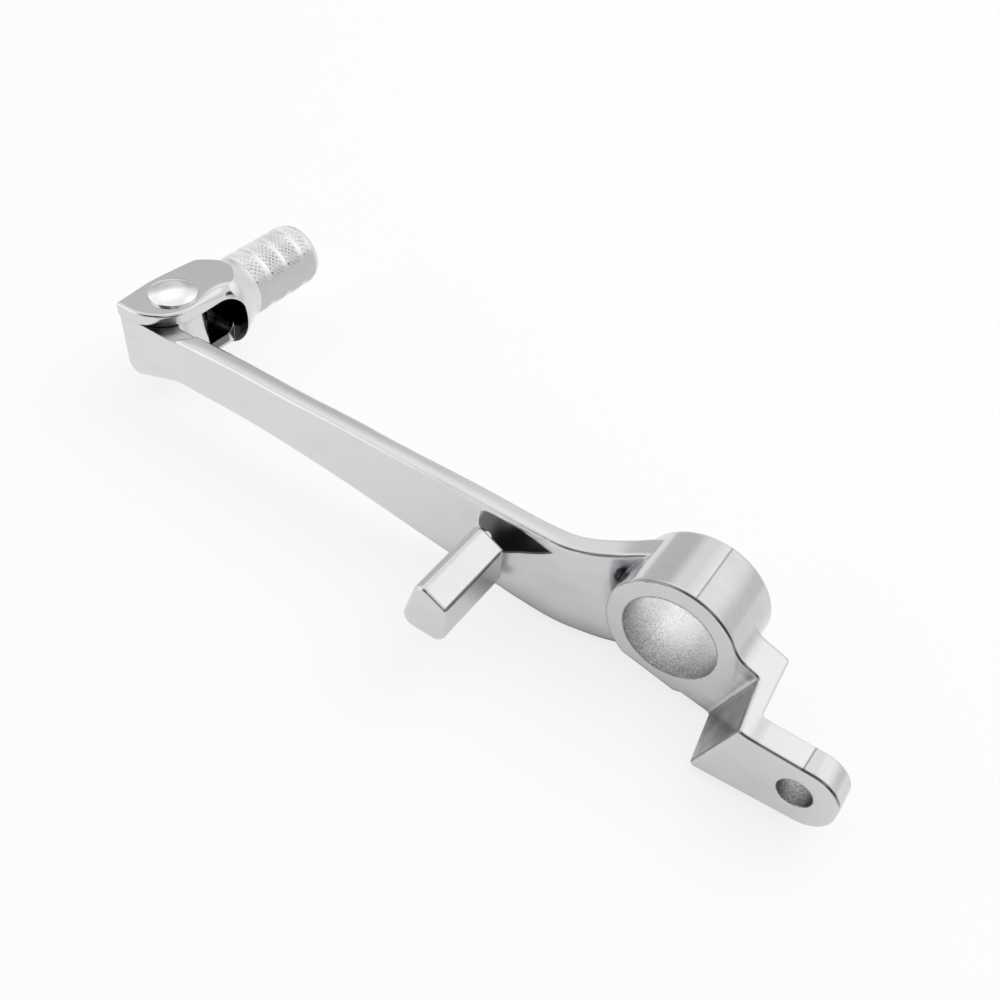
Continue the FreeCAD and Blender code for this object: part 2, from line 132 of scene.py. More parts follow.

# Colours of the metals and of the painted shade and painted highlights on them: deep black, the crevice colours
# and the knurl's side colour are painted shade, the bright white a painted highlight
DEEP_BLACK = (0.0, 0.0, 0.004, 1.0)
HIGHLIGHT_WHITE = (0.95, 0.95, 0.96, 1.0)
ARM_CREVICE_SHADE = (0.06, 0.063, 0.072, 1.0)
PEG_CREVICE_SHADE = (0.03, 0.03, 0.033, 1.0)
SATIN_BARREL = (0.76, 0.76, 0.765, 1.0)
KNURL_DULL = (0.80, 0.80, 0.80, 1.0)
KNURL_BRIGHT = (0.93, 0.93, 0.93, 1.0)
KNURL_SIDE_SHADE = (0.56, 0.56, 0.57, 1.0)
RIVET_DULL = (0.88, 0.88, 0.89, 1.0)
RIVET_BRIGHT = (0.97, 0.97, 0.97, 1.0)
RIVET_SHADED = (0.58, 0.585, 0.60, 1.0)
WIRE_CLEAN = (0.50, 0.50, 0.51, 1.0)
WIRE_BROWN = (0.34, 0.31, 0.28, 1.0)
WHITE = (1.0, 1.0, 1.0, 1.0)


class Level:
    """One value in a material, whose arithmetic adds Math nodes."""

    def __init__(self, finish, socket):
        self.finish = finish
        self.socket = socket

    def math(self, operation, *values):
        """The result of a Math node on these values."""
        return self.finish.node("ShaderNodeMath", {"operation": operation}, dict(enumerate(values)))

    def __add__(self, other):
        return self.math("ADD", self, other)

    def __radd__(self, other):
        return self.math("ADD", other, self)

    def __sub__(self, other):
        return self.math("SUBTRACT", self, other)

    def __rsub__(self, other):
        return self.math("SUBTRACT", other, self)

    def __mul__(self, other):
        return self.math("MULTIPLY", self, other)

    def __rmul__(self, other):
        return self.math("MULTIPLY", other, self)

    def __neg__(self):
        return self.math("SUBTRACT", 0.0, self)

    def at_least(self, other):
        """The larger of two values."""
        return self.math("MAXIMUM", self, other)

    def at_most(self, other):
        """The smaller of two values."""
        return self.math("MINIMUM", self, other)

    def size(self):
        """The value without its sign."""
        return self.math("ABSOLUTE", self)

    def root(self):
        """The square root of the value."""
        return self.math("SQRT", self)

    def swing(self, amount):
        """A value from 0 to 1 made to swing about 0 by this much in all."""
        return (self - 0.5) * amount

    def step(self, low, high):
        """A smooth step from 0 at low to 1 at high."""
        settings = {"interpolation_type": "SMOOTHSTEP"}
        sockets = {"Value": self, "From Min": low, "From Max": high}
        return self.finish.node("ShaderNodeMapRange", settings, sockets)

    def between(self, low, full, fade, high):
        """1 from full to fade, and smoothly 0 at low and high."""
        return self.step(low, full) * (1 - self.step(fade, high))


class Finish:
    """A material or world whose nodes are added one at a time."""

    def __init__(self, holder):
        holder.use_nodes = True
        self.holder = holder
        self.tree = holder.node_tree
        self.tree.nodes.clear()

    def node(self, kind, settings=None, sockets=None, output=0):
        """Adds a node: its settings are set first, then its sockets get values or links."""
        node = self.tree.nodes.new(kind)
        for key, value in (settings or {}).items():
            setattr(node, key, value)
        for key, value in (sockets or {}).items():
            if isinstance(value, Level):
                self.tree.links.new(value.socket, node.inputs[key])
            else:
                node.inputs[key].default_value = value
        return Level(self, node.outputs[output] if len(node.outputs) else None)

    def parts(self, vector):
        """X, Y and Z of a vector."""
        return [self.node("ShaderNodeSeparateXYZ", None, {0: vector}, i) for i in range(3)]

    def millimetres(self):
        """The piece's own X, Y and Z, in millimetres from the pivot."""
        return [part * (1 / MM) for part in self.parts(self.node("ShaderNodeTexCoord", output=3))]

    def facing(self):
        """X, Y and Z of the way the surface faces, in the piece's own frame."""
        return self.parts(self.node("ShaderNodeTexCoord", output=1))

    def surface(self):
        """Where the surface is, as x, y and z, and the way it faces, as nx, ny and nz."""
        x, y, z = self.millimetres()
        nx, ny, nz = self.facing()
        return SimpleNamespace(x=x, y=y, z=z, nx=nx, ny=ny, nz=nz)

    def grain(self, x, y, z, detail=3.0, rough=0.5):
        """Noise from 0 to 1 over a place that is given in grains."""
        place = self.node("ShaderNodeCombineXYZ", None, {0: x, 1: y, 2: z})
        sockets = {"Vector": place, "Scale": 1.0, "Detail": detail, "Roughness": rough}
        return self.node("ShaderNodeTexNoise", {"noise_dimensions": "3D"}, sockets)

    def openness(self, reach):
        """How open the surface is to the air within this reach, from 0 to 1."""
        return self.node("ShaderNodeAmbientOcclusion", {"samples": 8}, {"Distance": reach}, 1)

    def mix_colour(self, share, first, second):
        """A colour that goes from first to second as share goes from 0 to 1."""
        settings = {"data_type": "RGBA"}
        sockets = {0: share, 6: first, 7: second}
        return self.node("ShaderNodeMix", settings, sockets, 2)

    def metal(self, colour, roughness, height, depth, soften):
        """The surface: bare metal with its colour, gloss, relief of a depth and edges softened by a radius."""
        edge = self.node("ShaderNodeBevel", {"samples": 6}, {"Radius": soften})
        sockets = {"Strength": 1.0, "Distance": depth, "Height": height, "Normal": edge}
        relief = self.node("ShaderNodeBump", None, sockets)
        sockets = {"Base Color": colour, "Metallic": 1.0, "Roughness": roughness, "Normal": relief}
        surface = self.node("ShaderNodeBsdfPrincipled", None, sockets)
        self.node("ShaderNodeOutputMaterial", None, {0: surface})
        return self.holder


def new_finish(name):
    """A Finish on a new, empty material."""
    return Finish(bpy.data.materials.new(name))


def dress(node, material):
    """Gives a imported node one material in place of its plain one."""
    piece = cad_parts[node]
    piece.material_slots[0].material = material
    return piece


def arm_grains(finish, at):
    """The arm's noises: waves of hand polishing, clouds, polishing lines, speckle and the scores in a bore."""
    return SimpleNamespace(
        waves=finish.grain(at.x * 0.05, at.y * 0.09, at.z * 0.09, 1.0),
        clouds=finish.grain(at.x * 0.07, at.y * 0.2, at.z * 0.2, 3.0),
        lines=finish.grain(at.x * 0.35, at.y * 7.0, at.z * 7.0, 4.0, 0.6),
        speckle=finish.grain(at.x * 2.5, at.y * 2.5, at.z * 2.5, 4.0, 0.7),
        scores=finish.grain(at.x * 2.6, at.y * 4.4, at.z * 2.6, 3.0, 0.7).step(0.34, 0.66),
    )


def arm_zones(at):
    """Masks of the arm's bore, link hole, both holes, all machined places and the round side of the boss."""
    from_bore = (at.x * at.x + at.z * at.z).root()
    hole_x = at.x - LINK_HOLE_X
    hole_z = at.z - LINK_HOLE_Z
    near_boss = 1 - from_bore.step(BOSS_RADIUS, BOSS_RADIUS + 1.0)
    in_bore = 1 - from_bore.step(10.05, 10.3)
    in_hole = 1 - (hole_x * hole_x + hole_z * hole_z).root().step(3.45, 3.6)
    bored = in_bore.at_least(in_hole)
    turned = at.ny.size().step(0.97, 0.995) * near_boss
    return SimpleNamespace(
        in_bore=in_bore, in_hole=in_hole, bored=bored, machined=bored.at_least(turned),
        boss_side=from_bore.step(13.6, 13.9) * near_boss)


def tab_crease(at, zones):
    """The link tab's top, and how far past the crease across it a place is."""
    top = at.nz.step(0.5, 0.8) * (-at.y).step(13.0, 13.5) * (1 - zones.in_hole) * at.x.step(23.0, 24.5)
    return top, at.x - at.y * CREASE_LEAN - CREASE_X


def painted_notch_shade(at, grains):
    """Painted shade of the jagged notch between the arm's front and the boss, with a painted glint in it."""
    x, y, z = (place - middle for place, middle in zip((at.x, at.y, at.z), NOTCH))
    distance = (x * x + y * y + NOTCH_FLATNESS * z * z).root()
    hollow = 1 - (distance + grains.speckle.swing(1.6)).step(1.0, 1.5)
    glint = 1 - (distance + grains.scores.swing(0.8)).step(0.25, 0.5)
    return hollow * (1 - glint)


def painted_arm_shade(at, zones, grains):
    """How much of the clean metal's brightness is left, from 0 to 1, under painted shade and painted dark
    reflections: where the arm lies in shade or mirrors something dark.
    """
    front = -at.ny
    ahead = -at.y
    cloudy = grains.clouds.step(0.38, 0.6)
    # Painted shade, blotched by the clouds noise: the leg's left face and the front of the web.
    leg = (-at.nx).step(0.6, 0.85) * ahead.step(8.4, 10.0) * at.x.step(8.0, 11.0)
    web = front.step(0.9, 0.98) * at.x.step(11.5, 16.5) * (1 - ahead.step(8.6, 9.0))
    # Painted shadow on the shelf of the arm's end under the peg's lug, darkest at the left.
    shelf = at.nz.step(0.9, 0.98) * (1 - at.z.step(5.25, 5.35)) * (1 - at.x.step(-137.0, -130.5))
    # Painted dark reflection in the gusset's scoop beside the stop lug.
    scoop = at.nz.step(0.2, 0.45) * front.step(0.2, 0.45) * at.x.between(-45.0, -43.5, -27.5, -26.5)
    scoop = scoop * at.z.between(2.5, 3.0, 6.6, 6.9) * ahead.between(7.65, 7.8, 12.6, 13.0)
    # Painted dark reflection on the stop lug's rounded right edge.
    stop_edge = at.nx.between(0.5, 0.62, 0.93, 0.99) * at.nz.step(0.1, 0.3)
    stop_edge = stop_edge * ahead.step(12.5, 13.5) * at.x.between(-38.0, -37.0, -35.0, -34.0)
    # Painted dark reflection lines on the front-top edges from the boss rightwards.
    rim_line = front.between(0.2, 0.45, 0.88, 0.96) * at.nz.step(0.15, 0.4) * at.x.step(-12.0, -7.0)
    # Painted shade: a dark line for the crease across the link tab's top, and the rounded end past it a touch
    # darker.
    tab_top, past_crease = tab_crease(at, zones)
    crease = tab_top * (1 - past_crease.size().step(0.05, 0.24))
    tab_end = tab_top * past_crease.step(0.0, 0.4)
    shade = 1 - (leg * (0.36 + 0.2 * cloudy) + web * 0.5 * cloudy)
    losses = (
        (shelf, 0.85), (scoop, 0.8), (painted_notch_shade(at, grains), 0.85), (stop_edge, 0.6), (rim_line, 0.6),
        (crease, 0.55), (tab_end, 0.06),
    )
    for place, loss in losses:
        shade = shade * (1 - loss * place)
    return shade


def arm_finish(settings):
    """Hand-polished forging: soft waves, fine polishing lines, cloudy tone, turned faces and a scored bore, with
    painted shade, painted dark reflections and painted highlights.
    """
    finish = new_finish("polished_arm")
    at = finish.surface()
    zones = arm_zones(at)
    grains = arm_grains(finish, at)
    bored, machined = zones.bored, zones.machined

    marks = grains.lines * (1 - machined) + grains.speckle * (machined - bored) + grains.scores * bored
    across = (at.y - BLADE_MIDDLE_Y) * (1 / BLADE_HALF)
    crown = (across * across).at_most(1.6) * at.x.between(-130.0, -122.0, -32.0, -24.0)
    along_boss = at.x.math("ARCTAN2", at.x, at.z) * BOSS_RADIUS - settings.parting_line / MM
    seam = (1 - along_boss.size().step(0.08, 0.28)) * (1 - bored) * zones.boss_side
    height = grains.waves - 6.0 * crown + marks * (0.02 + 0.08 * machined + 0.4 * bored) - seam * 1.5

    roughness = settings.polish_roughness + grains.lines.swing(0.06)
    roughness = roughness + machined * settings.satin_extra + bored * 0.06

    # Painted shade: the bores darker towards their front mouths, and the boss's round side right of the parting
    # line a little darker.
    mouth = 1 - at.y.step(-8.0, 5.0)
    right_half = along_boss.between(-0.2, 0.2, 18.0, 22.0) * zones.boss_side
    tone = 1.0 + grains.lines.swing(0.16) + grains.clouds.swing(0.22) + grains.speckle.swing(0.2)
    tone = tone + bored * (grains.scores.swing(0.6) - 0.4 * mouth) - 0.35 * seam - 0.13 * right_half
    tab_top, past_crease = tab_crease(at, zones)
    # Painted highlights: a bright patch over the back of the bore, broken up by its scores, and a brighter flat
    # top on the link tab.
    painted_highlight = (1 - mouth) * zones.in_bore * (0.25 + 0.6 * grains.scores)
    painted_highlight = painted_highlight + 0.4 * tab_top * (1 - past_crease.step(-0.6, 0.0))
    shade = painted_arm_shade(at, zones, grains)
    clean = finish.mix_colour(tone * shade, DEEP_BLACK, (*settings.metal_colour, 1.0))
    clean = finish.mix_colour(painted_highlight, clean, HIGHLIGHT_WHITE)
    # Painted shade: recesses that ambient occlusion finds darken towards the crevice colour, the bores only a
    # little.
    open_share = finish.openness(9 * MM).step(0.15, 0.72).at_least(0.85 * bored)
    colour = finish.mix_colour(open_share, ARM_CREVICE_SHADE, clean)
    return finish.metal(colour, roughness, height, 0.03 * MM, settings.soft_edge)


def peg_finish(settings):
    """Turned and milled peg: polished hood and fork with painted shade in its throat, satin barrel."""
    finish = new_finish("polished_peg")
    at = finish.surface()
    barrel = at.y.step(19.0, 23.0)
    # Painted shade in the fork's throat: the slot's root, the lower lug's inner floor and inner rim, and recesses
    # that ambient occlusion finds, go dark; the barrel stays clear.
    root = (-at.ny).step(0.85, 0.97) * at.y.step(12.5, 13.5) * at.x.step(-143.0, -140.0)
    floor = at.nz.step(0.3, 0.9) * (1 - at.z.step(-6.4, -6.0))
    rim = at.nx.step(0.1, 0.4) * at.z.between(-9.5, -8.5, -6.4, -6.0) * (1 - at.y.step(13.0, 14.0))
    waves = finish.grain(at.x * 0.1, at.y * 0.1, at.z * 0.1, 1.0)
    turning = finish.grain(0.0, at.y * 6.0, 0.0, 3.0, 0.7)
    lines = finish.grain(at.x * 6.0, at.y * 0.4, at.z * 6.0, 3.0, 0.6)
    marks = lines * (1 - barrel) + turning * barrel
    height = waves + marks * (0.03 + 0.06 * barrel)
    roughness = settings.polish_roughness + marks.swing(0.08) + barrel * 0.22
    open_share = barrel.at_least(finish.openness(10 * MM).step(0.2, 0.7))
    open_share = open_share * (1 - root) * (1 - floor) * (1 - 0.8 * rim)
    clean = finish.mix_colour(barrel, (*settings.metal_colour, 1.0), SATIN_BARREL)
    colour = finish.mix_colour(open_share, PEG_CREVICE_SHADE, clean)
    return finish.metal(colour, roughness, height, 0.02 * MM, 0.3 * MM)


def knurl_finish():
    """Bright, dull knurling with worn crests and painted shade on its sides."""
    finish = new_finish("satin_knurl")
    x, y, z = finish.millimetres()
    grit = finish.grain(x * 4.0, y * 4.0, z * 4.0, 4.0, 0.65)
    patches = finish.grain(x * 0.25, y * 0.25, z * 0.25, 2.0)
    roughness = 0.42 + grit.swing(0.2) + patches.swing(0.2)
    bright = finish.mix_colour(patches.step(0.3, 0.7), KNURL_DULL, KNURL_BRIGHT)
    # Painted shade: the barrel's sides darken towards the side colour.
    aside = (x - HINGE_X).size().step(5.8, 7.4)
    colour = finish.mix_colour(aside, bright, KNURL_SIDE_SHADE)
    return finish.metal(colour, roughness, grit, 0.02 * MM, 0.05 * MM)


def rivet_finish():
    """Plated rivet head, shaded behind, smooth with the faint rings of the forming tool."""
    finish = new_finish("plated_rivet")
    x, y, z = finish.millimetres()
    across_x = x - HINGE_X
    across_y = y - HINGE_Y
    radius = (across_x * across_x + across_y * across_y).root()
    rings = finish.grain(radius * 3.0, z * 0.5, 0.0, 2.0)
    waves = finish.grain(x * 0.3, y * 0.3, z * 0.3, 1.0)
    roughness = 0.12 + rings.swing(0.06)
    bright = finish.mix_colour(waves.step(0.35, 0.7), RIVET_DULL, RIVET_BRIGHT)
    shaded = radius.step(2.2, 4.2) * (across_y * 0.8 - across_x * 0.6).step(-2.0, 2.5)
    colour = finish.mix_colour(shaded, bright, RIVET_SHADED)
    return finish.metal(colour, roughness, waves * 0.6 + rings * 0.05, 0.02 * MM, 0.15 * MM)


def spring_finish():
    """Drawn spring wire with lengthwise scratches and a little brown tarnish."""
    finish = new_finish("drawn_wire")
    x, y, z = finish.millimetres()
    drawn = finish.grain(x * 2.0, y * 2.0, z * 9.0, 3.0)
    spots = finish.grain(x * 0.8, y * 0.8, z * 0.8, 3.0)
    colour = finish.mix_colour(spots.step(0.5, 0.75), WIRE_CLEAN, WIRE_BROWN)
    return finish.metal(colour, 0.32 + drawn.swing(0.2), drawn, 0.01 * MM, 0.05 * MM)


def linked_piece(name, build):
    """A new object in the scene from a finished bmesh, which is freed."""
    bmesh.ops.recalc_face_normals(build, faces=build.faces[:])
    mesh = bpy.data.meshes.new(name)
    build.to_mesh(mesh)
    build.free()
    piece = bpy.data.objects.new(name, mesh)
    bpy.context.scene.collection.objects.link(piece)
    return piece


def knurl_rows(settings):
    """The rings of the knurl as (distance along Y, row in its band), rows at a band's two ends staying plain."""
    first = settings.tip - settings.length
    step = settings.length / settings.bands
    rings = []
    for band in range(settings.bands):
        last = band == settings.bands - 1
        start = first + band * step + (settings.groove / 2 if band else settings.groove)
        end = first + (band + 1) * step - (settings.rounding if last else settings.groove / 2)
        rows = 2 * max(1, round((end - start) / settings.pitch))
        for row in range(rows + 1):
            rings.append((start + (end - start) * row / rows, row % rows))
    return rings


def knurl_sleeve(name, settings):
    """A closed sleeve of diamond knurling on the top and bottom of the barrel, plain at its sides."""
    across = settings.diamonds * 2
    build = bmesh.new()

    def ring_of(y, row, radius, depth):
        ring = []
        for i in range(across):
            turn = i * 2 * math.pi / across
            fade = min(max((settings.cover - abs(math.sin(turn))) / KNURL_FADE, 0.0), 1.0)
            crest = depth * fade if row and (i + row) % 2 else 0.0
            side = (radius + crest) * math.sin(turn)
            rise = (radius + crest) * math.cos(turn)
            ring.append(build.verts.new((settings.axis_x + side, y, settings.axis_z + rise)))
        return ring

    rows = knurl_rows(settings)
    grid = [ring_of(y, row, settings.root, settings.depth) for y, row in rows]
    for j in range(len(grid) - 1):
        for i in range(across):
            k = (i + 1) % across
            a, b, c, d = grid[j][i], grid[j][k], grid[j + 1][k], grid[j + 1][i]
            if (i + rows[j][1]) % 2 == 0:
                build.faces.new((a, b, d))
                build.faces.new((b, c, d))
            else:
                build.faces.new((a, b, c))
                build.faces.new((a, c, d))
    inner = [ring_of(y, 0, settings.root - settings.depth, 0.0) for y in (rows[0][0], rows[-1][0])]
    for i in range(across):
        k = (i + 1) % across
        build.faces.new((grid[0][i], inner[0][i], inner[0][k], grid[0][k]))
        build.faces.new((grid[-1][k], inner[1][k], inner[1][i], grid[-1][i]))
        build.faces.new((inner[0][i], inner[1][i], inner[1][k], inner[0][k]))
    return linked_piece(name, build)


def along(rail, share):
    """A point at a share from 0 to 1 of a smooth line through the points of a rail."""
    last = len(rail) - 1
    place = min(share * last, last - 0.0001)
    i = int(place)
    t = place - i
    a, b, c, d = (Vector(rail[min(max(i + k, 0), last)]) for k in (-1, 0, 1, 2))
    bend = (c - a) * t + (2 * a - 5 * b + 4 * c - d) * t * t + (3 * b - a - 3 * c + d) * t * t * t
    return b + bend / 2


def gusset_section(share):
    """One closed section of the gusset: hollow from its foot to the crest and from there up to the arm's rim."""
    crest = along(GUSSET_CREST, share)
    rim = along(GUSSET_RIM, share)
    foot = along(GUSSET_FOOT, share)
    points = []
    for i in range(GUSSET_ROWS):
        t = i / GUSSET_ROWS
        point = foot.lerp(crest, t)
        point.y = foot.y + (crest.y - foot.y) * t ** GUSSET_HOLLOW
        points.append(point)
    for i in range(GUSSET_ROWS + 1):
        t = i / GUSSET_ROWS
        point = crest.lerp(rim, t)
        point.z = crest.z + (rim.z - crest.z) * t ** GUSSET_SCOOP
        points.append(point)
    points.append(rim + Vector((0.0, GUSSET_SUNK, -GUSSET_BACK_DROP)))
    points.append(foot + Vector((0.0, GUSSET_SUNK, 0.0)))
    return points


def stop_gusset(name):
    """A closed gusset that runs hollow from the stop lug's root into the arm's front."""
    build = bmesh.new()
    rings = []
    for i in range(GUSSET_STEPS + 1):
        rings.append([build.verts.new(point * MM) for point in gusset_section(i / GUSSET_STEPS)])
    for near, far in zip(rings, rings[1:]):
        for i in range(len(near)):
            build.faces.new((near[i - 1], near[i], far[i], far[i - 1]))
    build.faces.new(rings[0])
    build.faces.new(rings[-1])
    for face in build.faces:
        face.smooth = True
    for ring in rings:
        for i in (0, GUSSET_ROWS, 2 * GUSSET_ROWS):
            for edge in ring[i].link_edges:
                if edge.other_vert(ring[i]) not in ring:
                    edge.smooth = False
    return linked_piece(name, build)


class LeverFinishSettings(bpy.types.PropertyGroup):
    """Colour and gloss of the polished metal."""
    metal_colour: bpy.props.FloatVectorProperty(
        name="Metal colour", description="Colour of the clean polished metal", subtype="COLOR", size=3,
        default=(0.675, 0.68, 0.69), min=0.0, max=1.0)
    polish_roughness: bpy.props.FloatProperty(
        name="Polish", description="Roughness of the polished faces", subtype="FACTOR",
        default=0.16, min=0.0, max=1.0)
    soft_edge: bpy.props.FloatProperty(
        name="Soft edge", description="How far polishing has softened the arm's edges", unit="LENGTH",
        default=0.7 * MM, min=0.0)
    parting_line: bpy.props.FloatProperty(
        name="Parting line", description="Where the forging's seam runs, measured round the boss from its top",
        unit="LENGTH", default=2.45 * MM)
    satin_extra: bpy.props.FloatProperty(
        name="Turned faces", description="Roughness that turning adds to the bore and the boss faces",
        subtype="FACTOR", default=0.14, min=0.0, max=1.0)


class KnurlSettings(bpy.types.PropertyGroup):
    """Sizes of the diamond knurling on the peg's barrel."""
    axis_x: bpy.props.FloatProperty(
        name="Axis X", description="Where the barrel's axis lies along X", unit="LENGTH",
        default=sum(corner.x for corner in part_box("hinge_pin")) / 2)
    axis_z: bpy.props.FloatProperty(
        name="Axis height", description="Where the barrel's axis lies along Z", unit="LENGTH",
        default=-0.7 * MM)
    tip: bpy.props.FloatProperty(
        name="Tip", description="The barrel's end along Y", unit="LENGTH", default=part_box("toe_peg")[1].y)
    length: bpy.props.FloatProperty(
        name="Barrel length", description="Straight length of the barrel", unit="LENGTH",
        default=23.9 * MM)
    groove: bpy.props.FloatProperty(
        name="Groove width", description="Width of a ring groove between bands", unit="LENGTH",
        default=1.0 * MM)
    rounding: bpy.props.FloatProperty(
        name="End rounding", description="Radius of the barrel's rounded end", unit="LENGTH",
        default=2.2 * MM)
    root: bpy.props.FloatProperty(
        name="Root radius", description="Radius at the bottom of the knurl", unit="LENGTH",
        default=7.81 * MM)
    depth: bpy.props.FloatProperty(
        name="Depth", description="Height of the diamonds", unit="LENGTH", default=0.35 * MM)
    pitch: bpy.props.FloatProperty(
        name="Pitch", description="Length of a diamond along the barrel", unit="LENGTH",
        default=1.35 * MM)
    diamonds: bpy.props.IntProperty(
        name="Diamonds", description="Diamonds round the barrel", default=38, min=8)
    cover: bpy.props.FloatProperty(
        name="Cover", description="How far sideways the knurl reaches, as a share of the radius",
        subtype="FACTOR", default=0.94, min=0.0, max=1.5)
    bands: bpy.props.IntProperty(
        name="Bands", description="Knurled bands along the barrel", default=4, min=1)


class StageSettings(bpy.types.PropertyGroup):
    """Camera, floor and light."""
    camera_place: bpy.props.FloatVectorProperty(
        name="Camera", description="Where the camera stands", subtype="XYZ", size=3, unit="LENGTH",
        default=(0.0307, -0.1344, 0.1585))
    focal: bpy.props.FloatProperty(
        name="Focal length", description="Lens in millimetres on a 36 mm wide sensor", default=37.8)
    floor_colour: bpy.props.FloatVectorProperty(
        name="Floor colour", description="Colour of the floor", subtype="COLOR", size=3,
        default=(0.9, 0.9, 0.9), min=0.0, max=1.0)
    floor_height: bpy.props.FloatProperty(
        name="Floor height", description="Height of the floor", unit="LENGTH", default=-0.0165)
    tent_level: bpy.props.FloatProperty(
        name="Tent level", description="How bright the plain tent looks in the metal",
        default=0.95, min=0.0)
    fill_level: bpy.props.FloatProperty(
        name="Fill level", description="How strongly the tent lights dull surfaces", default=0.6, min=0.0)
    key_power: bpy.props.FloatProperty(
        name="Key power", description="Power of the soft light overhead, in watts", default=1.6, min=0.0)


class LEVER_OT_polish_arm(bpy.types.Operator):
    """Give the forged arm its polished finish"""
    bl_idname = "lever.polish_arm"
    bl_label = "Polish the arm"

    def execute(self, context):
        dress("lever_arm", arm_finish(context.scene.lever_finish))
        return {"FINISHED"}


class LEVER_OT_blend_stop(bpy.types.Operator):
    """Run the stop lug's root into the arm with a hollow gusset"""
    bl_idname = "lever.blend_stop"
    bl_label = "Blend the stop lug"

    def execute(self, context):
        gusset = stop_gusset("stop_gusset")
        gusset.data.materials.append(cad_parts["lever_arm"].material_slots[0].material)
        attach(gusset, "lever")
        return {"FINISHED"}


class LEVER_OT_finish_peg(bpy.types.Operator):
    """Give the toe peg its polished fork and satin barrel"""
    bl_idname = "lever.finish_peg"
    bl_label = "Finish the toe peg"

    def execute(self, context):
        dress("toe_peg", peg_finish(context.scene.lever_finish))
        return {"FINISHED"}


class LEVER_OT_roll_knurl(bpy.types.Operator):
    """Roll the bands of diamond knurling on the barrel"""
    bl_idname = "lever.roll_knurl"
    bl_label = "Roll the knurl"

    def execute(self, context):
        sleeve = knurl_sleeve("knurl_sleeve", context.scene.lever_knurl)
        sleeve.data.materials.append(knurl_finish())
        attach(sleeve, "peg")
        return {"FINISHED"}


class LEVER_OT_finish_rivet(bpy.types.Operator):
    """Give the hinge rivet its plated finish"""
    bl_idname = "lever.finish_rivet"
    bl_label = "Finish the rivet"

    def execute(self, context):
        dress("hinge_pin", rivet_finish())
        return {"FINISHED"}


class LEVER_OT_wind_spring(bpy.types.Operator):
    """Give the return spring its drawn wire and set a copy of it in place of the imported one"""
    bl_idname = "lever.wind_spring"
    bl_label = "Wind the spring"

    def execute(self, context):
        solid = dress("return_spring", spring_finish())
        coil = bpy.data.objects.new("wound_spring", solid.data.copy())
        context.scene.collection.objects.link(coil)
        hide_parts("return_spring")
        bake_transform(coil)
        return {"FINISHED"}


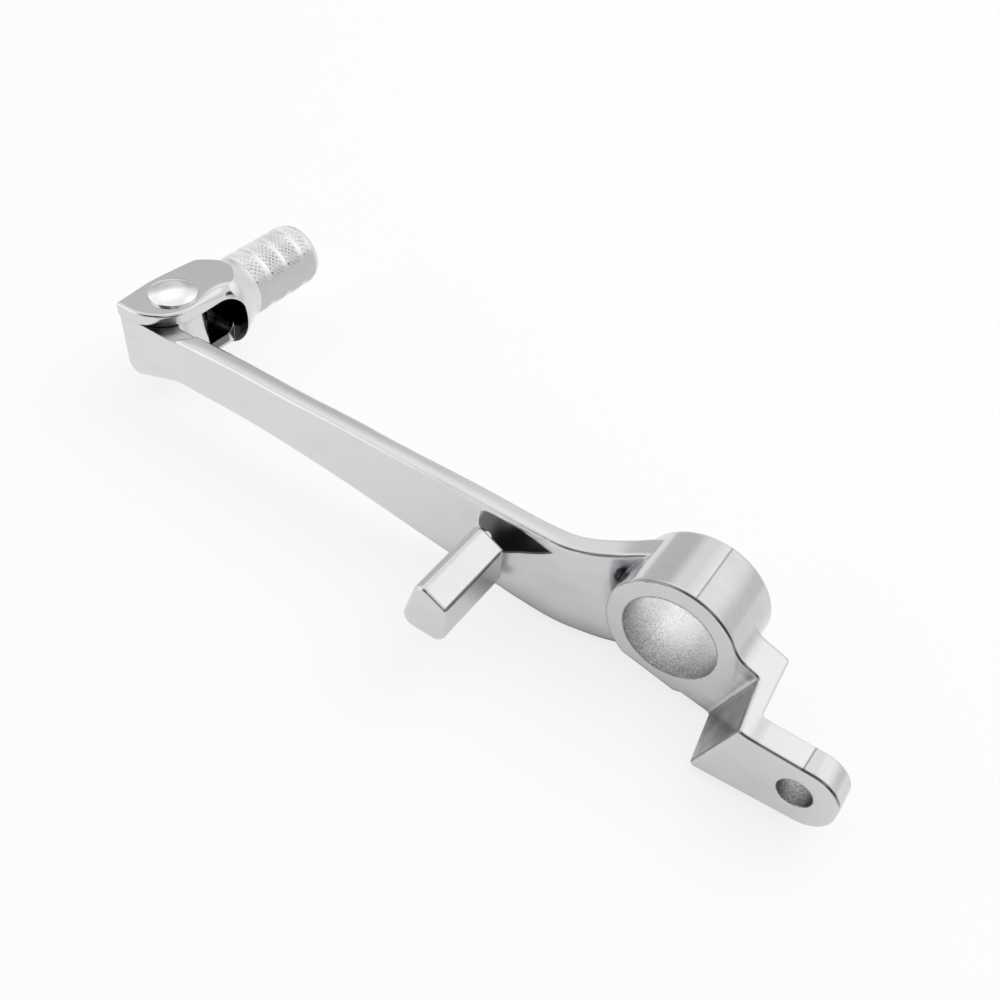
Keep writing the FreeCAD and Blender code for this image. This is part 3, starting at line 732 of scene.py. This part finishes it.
class LEVER_OT_set_stage(bpy.types.Operator):
    """Set the camera, the pale floor and the light tent"""
    bl_idname = "lever.set_stage"
    bl_label = "Set the stage"

    def execute(self, context):
        settings = context.scene.lever_stage
        self.set_camera(context, settings)
        self.lay_floor(context, settings)
        self.hang_light(context, settings)
        context.scene.view_settings.view_transform = "Standard"
        return {"FINISHED"}

    def set_camera(self, context, settings):
        """The camera at the photograph's place and angle."""
        lens = bpy.data.cameras.new("camera")
        lens.sensor_width = SENSOR_WIDTH
        lens.lens = settings.focal
        lens.clip_start = NEAREST_SEEN
        camera = bpy.data.objects.new("camera", lens)
        context.scene.collection.objects.link(camera)
        right = Vector(CAMERA_RIGHT).normalized()
        back = right.cross(Vector(CAMERA_UP)).normalized()
        turn = Matrix((right, back.cross(right), back)).transposed()
        camera.matrix_world = Matrix.Translation(settings.camera_place) @ turn.to_4x4()
        context.scene.camera = camera

    def lay_floor(self, context, settings):
        """A wide pale floor that keeps a faint shadow."""
        mesh = bpy.data.meshes.new("floor")
        reach = FLOOR_REACH
        corners = [(-reach, -reach, 0), (reach, -reach, 0), (reach, reach, 0), (-reach, reach, 0)]
        mesh.from_pydata(corners, [], [(0, 1, 2, 3)])
        floor = bpy.data.objects.new("floor", mesh)
        floor.location.z = settings.floor_height
        context.scene.collection.objects.link(floor)
        finish = new_finish("pale_floor")
        dull = finish.node("ShaderNodeBsdfDiffuse", None, {"Color": (*settings.floor_colour, 1.0)})
        glow = finish.node("ShaderNodeEmission", None, {"Color": WHITE, "Strength": 1.0})
        camera = finish.node("ShaderNodeLightPath", output=0)
        glossy = finish.node("ShaderNodeLightPath", output=5)
        x, y, _ = finish.millimetres()
        # Painted shade in the metal's reflections: the floor's glow that glossy rays see is cut in front of and
        # under the lever.
        front = (1 - y.step(-12.0, 4.0)) * x.step(-120.0, -10.0)
        under = y.between(-15.0, -8.0, 5.0, 12.0) * x.step(-70.0, -45.0)
        mirrored = (1.0 - FLOOR_FRONT_LOSS * front) * (1.0 - FLOOR_UNDER_LOSS * under)
        share = camera * FLOOR_GLOW + glossy * mirrored
        surface = finish.node("ShaderNodeMixShader", None, {0: share, 1: dull, 2: glow})
        finish.node("ShaderNodeOutputMaterial", None, {0: surface})
        mesh.materials.append(finish.holder)

    def hang_light(self, context, settings):
        """A tent that is white to the eye and graded to the metal, and one broad lamp overhead."""
        world = bpy.data.worlds.new("tent")
        context.scene.world = world
        finish = Finish(world)
        camera = finish.node("ShaderNodeLightPath", output=0)
        glossy = finish.node("ShaderNodeLightPath", output=5)
        x, y, z = finish.parts(finish.node("ShaderNodeTexCoord", output=0))
        shine = settings.tent_level
        for aim, inner, outer, change in TENT:
            lean = x * aim[0] + y * aim[1] + z * aim[2]
            faded, full = (math.cos(math.radians(angle)) for angle in (outer, inner))
            shine = shine + change * lean.step(faded, full)
        shine = shine.at_least(TENT_DARKEST)
        strength = settings.fill_level * (1 - camera - glossy) + camera + glossy * shine
        surface = finish.node("ShaderNodeBackground", None, {"Color": WHITE, "Strength": strength})
        finish.node("ShaderNodeOutputWorld", None, {0: surface})
        lamp = bpy.data.lights.new("overhead", "AREA")
        lamp.shape = "RECTANGLE"
        lamp.size, lamp.size_y = LAMP_SIZE
        lamp.energy = settings.key_power
        overhead = bpy.data.objects.new("overhead", lamp)
        overhead.location = LAMP_PLACE
        overhead.rotation_euler = Vector(LAMP_PLACE).to_track_quat("Z", "Y").to_euler()
        overhead.visible_glossy = False
        context.scene.collection.objects.link(overhead)


class LEVER_PT_panel(bpy.types.Panel):
    """Sizes, colours and steps of the gear lever"""
    bl_idname = "LEVER_PT_panel"
    bl_label = "Gear Shift Lever"
    bl_space_type = "VIEW_3D"
    bl_region_type = "UI"
    bl_category = "Lever"

    def draw(self, context):
        for group in (context.scene.lever_finish, context.scene.lever_knurl, context.scene.lever_stage):
            box = self.layout.box()
            for key in group.bl_rna.properties.keys():
                if key not in ("rna_type", "name"):
                    box.prop(group, key)
        for step in STEPS:
            self.layout.operator(step.bl_idname)


GROUPS = (LeverFinishSettings, KnurlSettings, StageSettings)
STEPS = (
    LEVER_OT_set_stage,
    LEVER_OT_polish_arm,
    LEVER_OT_blend_stop,
    LEVER_OT_finish_peg,
    LEVER_OT_roll_knurl,
    LEVER_OT_finish_rivet,
    LEVER_OT_wind_spring,
)


def register():
    """Registers the classes and hangs the settings on the scene."""
    for entry in GROUPS + STEPS + (LEVER_PT_panel,):
        bpy.utils.register_class(entry)
    bpy.types.Scene.lever_finish = bpy.props.PointerProperty(type=LeverFinishSettings)
    bpy.types.Scene.lever_knurl = bpy.props.PointerProperty(type=KnurlSettings)
    bpy.types.Scene.lever_stage = bpy.props.PointerProperty(type=StageSettings)


def unregister():
    """Takes the settings and classes away again."""
    del bpy.types.Scene.lever_stage
    del bpy.types.Scene.lever_knurl
    del bpy.types.Scene.lever_finish
    for entry in reversed(GROUPS + STEPS + (LEVER_PT_panel,)):
        bpy.utils.unregister_class(entry)


def main():
    """Runs every step."""
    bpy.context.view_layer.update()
    register()
    bpy.ops.lever.set_stage()
    bpy.ops.lever.polish_arm()
    bpy.ops.lever.blend_stop()
    bpy.ops.lever.finish_peg()
    bpy.ops.lever.roll_knurl()
    bpy.ops.lever.finish_rivet()
    bpy.ops.lever.wind_spring()


if __name__ == "__main__":
    main()
